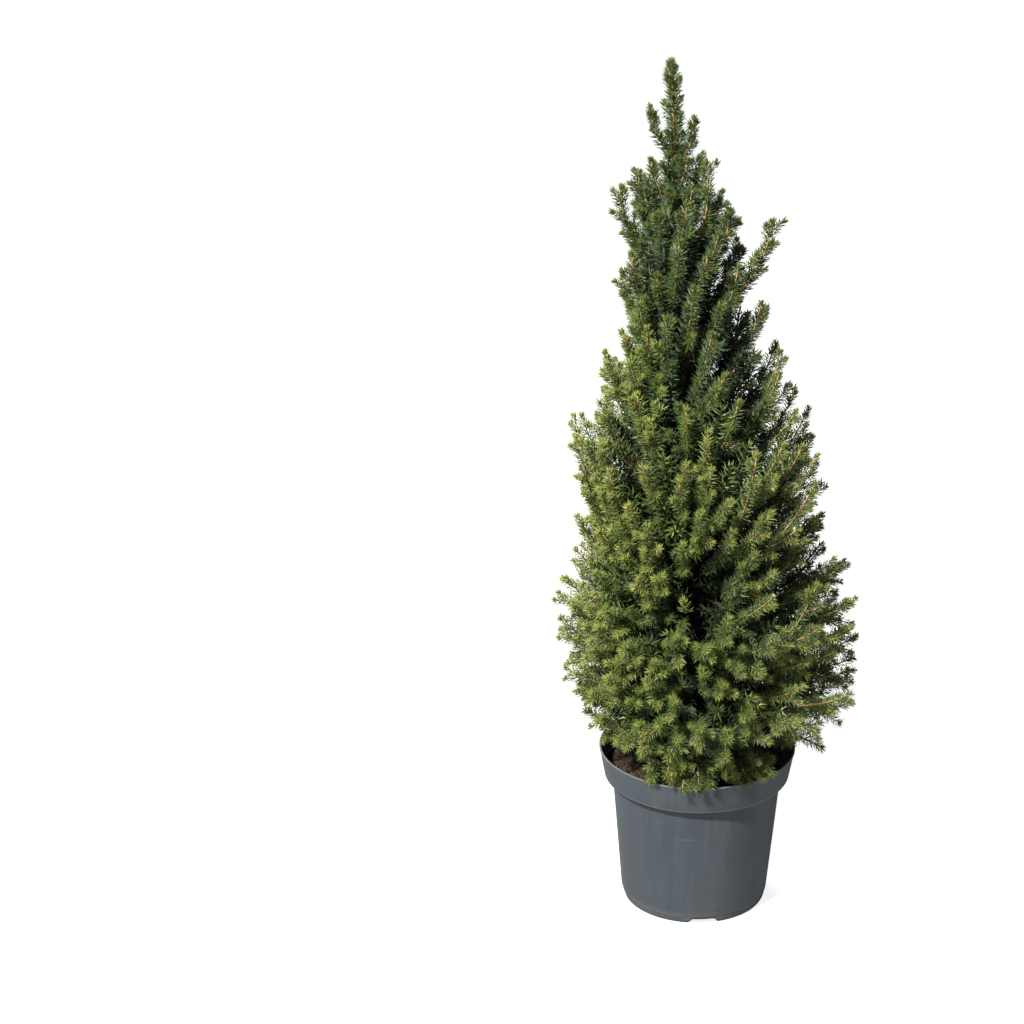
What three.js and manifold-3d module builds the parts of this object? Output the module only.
// A dwarf Alberta spruce in its nursery pot: a leaning, tapering trunk, a ring of boughs
// and a cone of foliage masses, standing in a tapered plastic pot with a deep collar.
// Units are millimetres, +Z is up, +X is the right-hand side and -Y is the front.
// The origin is the middle of the pot's flat underside.

import * as THREE from 'three';
import { mergeVertices } from 'three/addons/utils/BufferGeometryUtils.js';
import Module from 'manifold-3d';

const wasm = await Module();
wasm.setup();

// ---------------------------------------------------------------- driving dimensions

const GAP = 0.3; // clearance between pieces that touch on the real plant

// The pot: a tapered wall with a deep collar round its rim.
const POT_SEGMENTS = 40;
const RIM_HEIGHT = 193;
const RIM_RADIUS = 115;
const COLLAR_DEPTH = 36;
const COLLAR_FOOT_RADIUS = 108.5;
const WALL_TOP_RADIUS = 99;
const WALL_FOOT_RADIUS = 86;
const FOOT_HEIGHT = 11;
const FOOT_RADIUS = 82.5;
const FOOT_INNER_RADIUS = 62;
const FLOOR_UNDERSIDE = 7;
const FLOOR_TOP = 9.5;
const BOSS_RADIUS = 25;
const WALL = 2.2;

// The small steps of the pot's section: sloped sides under the floor, the foot ring's own
// taper and the step above it, the collar's lower edge, its shelf on the inside, and the
// slope where the wall meets the floor.
const UNDERSIDE_SLOPE = 2;
const FOOT_TAPER = 0.8;
const FOOT_STEP = 2.5;
const COLLAR_EDGE_WIDTH = 1.2;
const COLLAR_EDGE_HEIGHT = 1.6;
const SHELF_INNER = 1.4;
const SHELF_OUTER = 3.4;
const FLOOR_SLOPE_HEIGHT = 4;
const FLOOR_SLOPE_WIDTH = 3;

// The drain notches cut through the foot ring.
const NOTCH_COUNT = 4;
const NOTCH_FIRST_ANGLE = -81.4;
const NOTCH_FOOT_WIDTH = 36;
const NOTCH_HEAD_WIDTH = 26;
const NOTCH_HEIGHT = 6;
const NOTCH_OVERCUT = 10; // how far the cut runs past the foot ring on both sides

// The soil fills the pot to a level below the rim, a little clear of the wall.
const SOIL_TOP = 167;
const SOIL_CLEARANCE = 0.6;
const SOIL_SHELF_INSET = 1.4;
const SOIL_TOP_SPREAD = 0.2;

// The trunk leans to the left as it rises.
const TRUNK_LEAN = -0.0525;
const TRUNK_TIP_HEIGHT = 1008;
const TRUNK_FOOT_RADIUS = 11;
const TRUNK_TIP_RADIUS = 1.8;
const TRUNK_TAPER_POWER = 0.85;
const TRUNK_SIDES = 10;
const TRUNK_STEPS = 15;
const TRUNK_STEP_POWER = 1.6; // its rings lie closer together near the foot
const FLARE_EXTRA = 6;
const FLARE_HEIGHT = 16;
const LOBE_COUNT = 5;
const LOBE_DEPTH = 0.12;
const LOBE_HEIGHT = 30;

// How far the crown reaches to the left and to the right of the leaning trunk, by height.
const CROWN = [
  { height: 196, left: 100, right: 122 },
  { height: 225, left: 116, right: 160 },
  { height: 255, left: 136, right: 180 },
  { height: 290, left: 148, right: 190 },
  { height: 345, left: 156, right: 188 },
  { height: 400, left: 146, right: 180 },
  { height: 455, left: 122, right: 158 },
  { height: 500, left: 126, right: 162 },
  { height: 595, left: 124, right: 138 },
  { height: 645, left: 86, right: 119 },
  { height: 715, left: 64, right: 96 },
  { height: 790, left: 68, right: 82 },
  { height: 860, left: 58, right: 58 },
  { height: 903, left: 34, right: 44 },
  { height: 935, left: 15, right: 15 },
  { height: 995, left: 9, right: 8.5 },
  { height: 1017, left: 4.5, right: 4.5 },
];

// The tiers of foliage from the skirt up. Each tier is a ring of masses round the trunk.
// floor is the height of the tier's lower border at its outer edge, rise is how much lower
// that border lies at its inner edge, and bare is the radius left open round the trunk.
const TIERS = [
  { name: 'skirt', count: 7, turn: 12, floor: 198.5, rise: 5, bare: 46 },
  { name: 'waist', count: 7, turn: 38, floor: 348, rise: 26, bare: 40 },
  { name: 'middle', count: 6, turn: 26, floor: 498, rise: 36, bare: 26 },
  { name: 'shoulder', count: 5, turn: -8, floor: 642, rise: 36, bare: 13 },
  { name: 'neck', count: 3, turn: -62, floor: 776, rise: 30, bare: 8.5 },
];
const TIER_MIDDLE = 60; // the height above a tier's floor where its width is measured
const LEADER_FLOOR = 900;
const LEADER_LEVELS = [918, 935, 965, 995, 1010, 1017];
const LEADER_SIDES = 12;
const LEADER_FOOT_SHARE = 0.8; // the leader's mass narrows to this share at its foot
const MASS_GAP = 3;
const BORDER_WAVE = 17;
const SKIRT_LIFT = 24; // the skirt is higher on the left, where the rim shows below it
const BLOCK_POWER = 7; // how square a rounded mass is
const MASS_SIDES = 16;
const MASS_RINGS = [0, 20, 35, 46, 76, 108, 137, 180]; // degrees from a mass's outer face

// Swells and hollows of the crown's surface: each wave's size, how many run round the crown,
// the height over which it turns, and where it starts.
const UNEVEN = 0.055;
const SWELLS = [
  { size: 0.5, count: 5, rise: 31, start: 0 },
  { size: 0.3, count: 9, rise: -17, start: 1.3 },
  { size: 0.2, count: 2, rise: 11, start: 0.4 },
];

// The boughs run from the trunk to the inner face of each mass of the two lowest tiers.
const BOUGH_ROOT_RADIUS = 4.2;
const BOUGH_END_RADIUS = 2.6;
const BOUGH_RISE = 26;
const BOUGH_SIDES = 6;
const BOUGH_STEPS = 3;
const BOUGH_BEND = [0.6, 0.35]; // its bend's share of the way out and of the way up
const BOUGH_LOWEST = 22; // least height of a root above the soil
const ROOT_CLEARANCE = 1.8;

// Single long shoots that stand out of the crown. Each leaves the trunk's axis in the
// direction turn, from a foot sunk in a mass to a free tip.
const SPIRE_FOOT_RADIUS = 9;
const SPIRE_TIP_RADIUS = 5;
const SPIRE_SIDES = 7;
const SPIRE_STEPS = 4;
const SPIRE_BEND = [0.62, 0.48];
const SPIRES = [
  { name: 'right_high', turn: -8, foot: [62, 742], tip: [107, 842] },
  { name: 'front_right_high', turn: -28, foot: [42, 790], tip: [66, 860] },
  { name: 'front_high', turn: -35, foot: [30, 812], tip: [42, 910] },
  { name: 'left_high', turn: 192, foot: [24, 812], tip: [41, 893] },
  { name: 'left_tall', turn: 174, foot: [42, 785], tip: [61, 872] },
  { name: 'back_right_high', turn: 62, foot: [44, 750], tip: [84, 832] },
  { name: 'back_left_high', turn: 122, foot: [34, 800], tip: [50, 884] },
  { name: 'leader_left', turn: 180, foot: [13.5, 924], tip: [26, 957] },
  { name: 'leader_right', turn: -10, foot: [14, 914], tip: [24, 946] },
  { name: 'right_low', turn: -8, foot: [92, 214], tip: [152, 202] },
];

// ---------------------------------------------------------------- finishes

const finish = (color, roughness) =>
  new THREE.MeshStandardMaterial({ color, roughness, metalness: 0 });

const POT_PLASTIC = finish(0x555d61, 0.6);
const SOIL_PEAT = finish(0x2c2119, 1);
const BARK = finish(0x6a4b33, 0.9);
const FOLIAGE_LOW = finish(0x4c5c2c, 0.85);
const FOLIAGE_HIGH = finish(0x36503f, 0.85);

// ---------------------------------------------------------------- helpers

const { lerp, degToRad } = THREE.MathUtils;

// Joins the shared vertices of a closed geometry and drops the faces that collapse to a line.
function welded(geometry) {
  const plain = geometry.clone();
  plain.deleteAttribute('normal');
  plain.deleteAttribute('uv');
  const merged = mergeVertices(plain, 1e-4);
  const corners = merged.index.array;
  const kept = [];
  for (let i = 0; i < corners.length; i += 3) {
    const [a, b, c] = corners.slice(i, i + 3);
    if (a !== b && b !== c && c !== a) kept.push(a, b, c);
  }
  merged.setIndex(kept);
  return merged;
}

// A geometry as a manifold solid, for cutting.
function solidOf(geometry) {
  const closed = welded(geometry);
  const vertProperties = new Float32Array(closed.attributes.position.array);
  const triVerts = new Uint32Array(closed.index.array);
  return new wasm.Manifold(new wasm.Mesh({ numProp: 3, vertProperties, triVerts }));
}

// A manifold solid as a geometry again.
function geometryOf(solid) {
  const { vertProperties, triVerts } = solid.getMesh();
  const geometry = new THREE.BufferGeometry();
  geometry.setAttribute('position', new THREE.BufferAttribute(vertProperties, 3));
  geometry.setIndex(new THREE.BufferAttribute(triVerts, 1));
  geometry.computeVertexNormals();
  return geometry;
}

// Moves every vertex of a geometry to where the function places it.
function reshaped(geometry, place) {
  const position = geometry.attributes.position;
  const point = new THREE.Vector3();
  for (let i = 0; i < position.count; i += 1) {
    point.fromBufferAttribute(position, i);
    place(point);
    position.setXYZ(i, point.x, point.y, point.z);
  }
  return geometry;
}

// A lathe turned upright, so that its profile's second number is the height.
function turned(profile, segments) {
  const points = profile.map(([radius, height]) => new THREE.Vector2(radius, height));
  return new THREE.LatheGeometry(points, segments).rotateX(Math.PI / 2);
}

// The sideways place of the leaning trunk's axis at a height.
const axisAt = (height) => TRUNK_LEAN * (height - SOIL_TOP);

// The point at a reach from the trunk's axis, in a direction and at a height.
function around(turn, reach, height, target = new THREE.Vector3()) {
  return target.set(
    axisAt(height) + reach * Math.cos(turn),
    reach * Math.sin(turn),
    height,
  );
}

// The crown's reach from the trunk's axis: between the two rows of CROWN that hold the
// height, and from the left value to the right value as the direction turns.
function crownReach(turn, height) {
  const last = CROWN.length - 1;
  const above = CROWN.findIndex((row) => row.height > height);
  const high = above < 0 ? last : Math.max(above, 1);
  const [low, top] = [CROWN[high - 1], CROWN[high]];
  const share = THREE.MathUtils.clamp((height - low.height) / (top.height - low.height), 0, 1);
  const left = lerp(low.left, top.left, share);
  const right = lerp(low.right, top.right, share);
  return lerp(left, right, (1 + Math.cos(turn)) / 2);
}

// Swells and hollows of the crown's surface, between -1 and 1.
function unevenness(turn, height) {
  return SWELLS.reduce(
    (sum, { size, count, rise, start }) => sum + size * Math.sin(count * turn + height / rise + start),
    0,
  );
}

// ---------------------------------------------------------------- the pot and its soil

function potGeometry() {
  const collarFoot = RIM_HEIGHT - COLLAR_DEPTH;
  const profile = [
    [0, 0],
    [BOSS_RADIUS, 0],
    [BOSS_RADIUS + UNDERSIDE_SLOPE, FLOOR_UNDERSIDE],
    [FOOT_INNER_RADIUS - UNDERSIDE_SLOPE, FLOOR_UNDERSIDE],
    [FOOT_INNER_RADIUS, 0],
    [FOOT_RADIUS, 0],
    [FOOT_RADIUS + FOOT_TAPER, FOOT_HEIGHT],
    [WALL_FOOT_RADIUS, FOOT_HEIGHT + FOOT_STEP],
    [WALL_TOP_RADIUS, collarFoot],
    [COLLAR_FOOT_RADIUS - COLLAR_EDGE_WIDTH, collarFoot],
    [COLLAR_FOOT_RADIUS, collarFoot + COLLAR_EDGE_HEIGHT],
    [RIM_RADIUS, RIM_HEIGHT],
    [RIM_RADIUS - WALL, RIM_HEIGHT],
    [COLLAR_FOOT_RADIUS - WALL, collarFoot + SHELF_OUTER],
    [WALL_TOP_RADIUS - WALL, collarFoot + SHELF_INNER],
    [WALL_FOOT_RADIUS - WALL, FLOOR_TOP + FLOOR_SLOPE_HEIGHT],
    [WALL_FOOT_RADIUS - WALL - FLOOR_SLOPE_WIDTH, FLOOR_TOP],
    [0, FLOOR_TOP],
  ];
  let pot = solidOf(turned(profile, POT_SEGMENTS));
  for (let i = 0; i < NOTCH_COUNT; i += 1) {
    const angle = degToRad(NOTCH_FIRST_ANGLE + (360 * i) / NOTCH_COUNT);
    pot = pot.subtract(solidOf(notchGeometry(angle)));
  }
  return geometryOf(pot);
}

// A bar of trapezoid section, lying outward through the foot ring at an angle.
function notchGeometry(angle) {
  const below = 1;
  const slope = (NOTCH_FOOT_WIDTH - NOTCH_HEAD_WIDTH) / 2 / NOTCH_HEIGHT;
  const halfFoot = NOTCH_FOOT_WIDTH / 2 + slope * below;
  const halfHead = NOTCH_HEAD_WIDTH / 2;
  const section = new THREE.Shape([
    new THREE.Vector2(-halfFoot, -below),
    new THREE.Vector2(halfFoot, -below),
    new THREE.Vector2(halfHead, NOTCH_HEIGHT),
    new THREE.Vector2(-halfHead, NOTCH_HEIGHT),
  ]);
  const inner = FOOT_INNER_RADIUS - NOTCH_OVERCUT;
  const depth = WALL_FOOT_RADIUS + NOTCH_OVERCUT - inner;
  const bar = new THREE.ExtrudeGeometry(section, { depth, bevelEnabled: false });
  return bar
    .rotateX(Math.PI / 2)
    .translate(0, -inner, 0)
    .rotateZ(angle + Math.PI / 2);
}

function soilGeometry() {
  const collarFoot = RIM_HEIGHT - COLLAR_DEPTH;
  const wallFoot = WALL_FOOT_RADIUS - WALL - SOIL_CLEARANCE;
  const wallTop = WALL_TOP_RADIUS - WALL - SOIL_CLEARANCE;
  const collar = COLLAR_FOOT_RADIUS - WALL;
  const profile = [
    [0, FLOOR_TOP + GAP],
    [wallFoot - FLOOR_SLOPE_WIDTH, FLOOR_TOP + GAP],
    [wallFoot, FLOOR_TOP + FLOOR_SLOPE_HEIGHT],
    [wallTop, collarFoot + SHELF_INNER + GAP],
    [collar - SOIL_SHELF_INSET, collarFoot + SHELF_OUTER + SOIL_CLEARANCE],
    [collar + SOIL_TOP_SPREAD, SOIL_TOP],
    [0, SOIL_TOP],
  ];
  return welded(turned(profile, POT_SEGMENTS));
}

// ---------------------------------------------------------------- the trunk and boughs

// The trunk's radius at a height: an even taper, with the root flare added at its foot.
function trunkRadius(height) {
  const above = height - SOIL_TOP;
  const share = above / (TRUNK_TIP_HEIGHT - SOIL_TOP);
  const taper = lerp(TRUNK_FOOT_RADIUS, TRUNK_TIP_RADIUS, Math.min(share, 1) ** TRUNK_TAPER_POWER);
  return taper + FLARE_EXTRA * Math.exp(-above / FLARE_HEIGHT);
}

// The trunk from its flat foot on the soil to its tip, or a fatter copy to cut with.
function trunkGeometry(extra = 0) {
  const foot = SOIL_TOP + GAP;
  const height = TRUNK_TIP_HEIGHT - foot;
  const column = new THREE.CylinderGeometry(1, 1, 1, TRUNK_SIDES, TRUNK_STEPS);
  column.rotateX(Math.PI / 2);
  return reshaped(column, (point) => {
    const share = (point.z + 0.5) ** TRUNK_STEP_POWER;
    const level = foot + height * share + (share > 0.999 ? extra : 0);
    const depth = LOBE_DEPTH * Math.exp(-(level - foot) / LOBE_HEIGHT);
    const lobes = 1 + depth * Math.sin(LOBE_COUNT * Math.atan2(point.y, point.x));
    const radius = trunkRadius(level) * lobes + extra;
    point.set(axisAt(level) + point.x * radius, point.y * radius, level);
  });
}

// A round, tapering limb in an upright plane through the trunk's axis. It follows a curve
// of reach and height, and extra makes it fatter and longer, for cutting its socket.
function limbGeometry(turn, curve, radii, sides, steps, extra = 0) {
  const rod = new THREE.CylinderGeometry(1, 1, 1, sides, steps).rotateX(Math.PI / 2);
  const sideways = new THREE.Vector3(-Math.sin(turn), Math.cos(turn), 0);
  const ahead = new THREE.Vector3();
  const across = new THREE.Vector3();
  const centre = new THREE.Vector3();
  return reshaped(rod, (point) => {
    const share = point.z + 0.5;
    const at = curve.getPoint(share);
    const slope = curve.getTangent(share);
    const leaning = TRUNK_LEAN * slope.y;
    ahead.set(Math.cos(turn) * slope.x + leaning, Math.sin(turn) * slope.x, slope.y);
    ahead.normalize();
    across.crossVectors(ahead, sideways).normalize();
    const radius = lerp(radii[0], radii[1], share) + extra;
    around(turn, at.x, at.y, centre);
    centre.addScaledVector(ahead, (share < 0.01 ? -extra : 0) + (share > 0.99 ? extra : 0));
    const [side, up] = [point.x * radius, point.y * radius];
    point.copy(centre).addScaledVector(sideways, side).addScaledVector(across, up);
  });
}

// A curve from one point of reach and height to another, whose bend lies at a share of the
// way out and a share of the way up.
function bent(from, to, [outShare, upShare]) {
  const bend = new THREE.Vector2(lerp(from.x, to.x, outShare), lerp(from.y, to.y, upShare));
  return new THREE.QuadraticBezierCurve(from, bend, to);
}

// A bough climbs outward from the trunk's side and stops at the inner face of its mass.
function boughGeometry(tier, turn) {
  const inner = massPoint(tier, turn, 0, -1);
  const reach = tier.bare - BOUGH_END_RADIUS;
  const rootHeight = Math.max(inner.z - BOUGH_RISE, SOIL_TOP + BOUGH_LOWEST);
  const rootReach = trunkRadius(rootHeight - BOUGH_ROOT_RADIUS) + ROOT_CLEARANCE;
  const root = new THREE.Vector2(rootReach, rootHeight);
  const curve = bent(root, new THREE.Vector2(reach, inner.z), BOUGH_BEND);
  const radii = [BOUGH_ROOT_RADIUS, BOUGH_END_RADIUS];
  return limbGeometry(turn, curve, radii, BOUGH_SIDES, BOUGH_STEPS);
}

// A long shoot from its sunk foot to its free tip, bowed a little towards the upright.
function spireGeometry(spire, extra = 0) {
  const curve = bent(new THREE.Vector2(...spire.foot), new THREE.Vector2(...spire.tip), SPIRE_BEND);
  const radii = [SPIRE_FOOT_RADIUS, SPIRE_TIP_RADIUS];
  return limbGeometry(degToRad(spire.turn), curve, radii, SPIRE_SIDES, SPIRE_STEPS, extra);
}

// ---------------------------------------------------------------- the foliage masses

// The height of the border under a tier, in a direction and at a depth from 0, inside,
// to 1, outside. Number TIERS.length is the flat border under the leader.
function borderHeight(number, turn, depth) {
  if (number === TIERS.length) return LEADER_FLOOR;
  const { floor, rise, count } = TIERS[number];
  const leftward = Math.max(-Math.cos(turn), 0) ** 2;
  const lift = number === 0 ? SKIRT_LIFT * leftward : 0;
  const wave = number === 0 ? 0 : BORDER_WAVE * Math.sin((count - 2) * turn + number);
  return floor + lift + wave - rise * (1 - depth);
}

// A point of a tier's ring: across runs in height from -1 to 1, and outward from -1 to 1.
function massPoint(tier, turn, across, outward) {
  const depth = (outward + 1) / 2;
  const number = TIERS.indexOf(tier);
  const low = borderHeight(number, turn, depth) + MASS_GAP / 2;
  const high = borderHeight(number + 1, turn, depth) - MASS_GAP / 2;
  const height = lerp(low, high, (across + 1) / 2);
  const outer = crownReach(turn, height) * (1 + UNEVEN * unevenness(turn, height));
  return around(turn, lerp(tier.bare, outer, depth), height);
}

// One mass: a ball swelled into a rounded block, then bent into its share of the ring. Its
// rings are first spread so that they lie where the block has its edges.
function massGeometry(tier, turn) {
  const half = Math.PI / tier.count;
  const steps = MASS_RINGS.length - 1;
  const ball = new THREE.SphereGeometry(1, MASS_SIDES, steps);
  return reshaped(ball, (point) => {
    const ring = Math.round((Math.acos(THREE.MathUtils.clamp(point.y, -1, 1)) / Math.PI) * steps);
    const fromFace = degToRad(MASS_RINGS[ring]);
    const roundRing = Math.hypot(point.x, point.z) || 1;
    const wide = Math.sin(fromFace) / roundRing;
    point.set(point.x * wide, Math.cos(fromFace), point.z * wide);
    const sum = [point.x, point.y, point.z].reduce((s, n) => s + Math.abs(n) ** BLOCK_POWER, 0);
    point.multiplyScalar(sum ** (-1 / BLOCK_POWER));
    const depth = (point.y + 1) / 2;
    const reach = lerp(tier.bare, crownReach(turn, tier.floor + TIER_MIDDLE), depth);
    const side = half - MASS_GAP / 2 / reach;
    point.copy(massPoint(tier, turn - point.x * side, point.z, point.y));
  });
}

// The leader's mass: the crown's profile above the last border, closed round the trunk.
function leaderGeometry() {
  const floor = LEADER_FLOOR + MASS_GAP;
  const levels = [floor, ...LEADER_LEVELS];
  const top = levels[levels.length - 1];
  const profile = [[0, floor], ...levels.map((height) => [1, height]), [0, top]];
  return reshaped(turned(profile, LEADER_SIDES), (point) => {
    const radius = Math.hypot(point.x, point.y);
    const turn = Math.atan2(point.y, point.x);
    const softened = point.z === floor ? LEADER_FOOT_SHARE : 1;
    const reach = radius * crownReach(turn, point.z) * softened;
    point.copy(around(turn, reach, point.z));
  });
}

// ---------------------------------------------------------------- assembly

const plant = new THREE.Group();

function addPiece(name, geometry, material) {
  const mesh = new THREE.Mesh(geometry, material);
  mesh.name = name;
  plant.add(mesh);
}

addPiece('pot', potGeometry(), POT_PLASTIC);
addPiece('soil', soilGeometry(), SOIL_PEAT);
addPiece('trunk', welded(trunkGeometry()), BARK);

const socketCutters = SPIRES.map((spire) => solidOf(spireGeometry(spire, GAP * 2)));
const trunkCutter = solidOf(trunkGeometry(GAP * 2));

// Cuts the sockets of the long shoots, and the trunk's way, out of a mass.
function cutRoundLimbs(geometry) {
  const cutters = [trunkCutter, ...socketCutters];
  return geometryOf(cutters.reduce((mass, cutter) => mass.subtract(cutter), solidOf(geometry)));
}

TIERS.forEach((tier, number) => {
  const material = number < 3 ? FOLIAGE_LOW : FOLIAGE_HIGH;
  for (let i = 0; i < tier.count; i += 1) {
    const turn = degToRad(tier.turn + (360 * i) / tier.count);
    addPiece(`foliage_${tier.name}_${i + 1}`, cutRoundLimbs(massGeometry(tier, turn)), material);
    if (number < 2) {
      addPiece(`bough_${tier.name}_${i + 1}`, welded(boughGeometry(tier, turn)), BARK);
    }
  }
});
addPiece('foliage_leader', cutRoundLimbs(leaderGeometry()), FOLIAGE_HIGH);

SPIRES.forEach((spire) => {
  const material = spire.tip[1] > 600 ? FOLIAGE_HIGH : FOLIAGE_LOW;
  addPiece(`shoot_${spire.name}`, welded(spireGeometry(spire)), material);
});

export default plant;
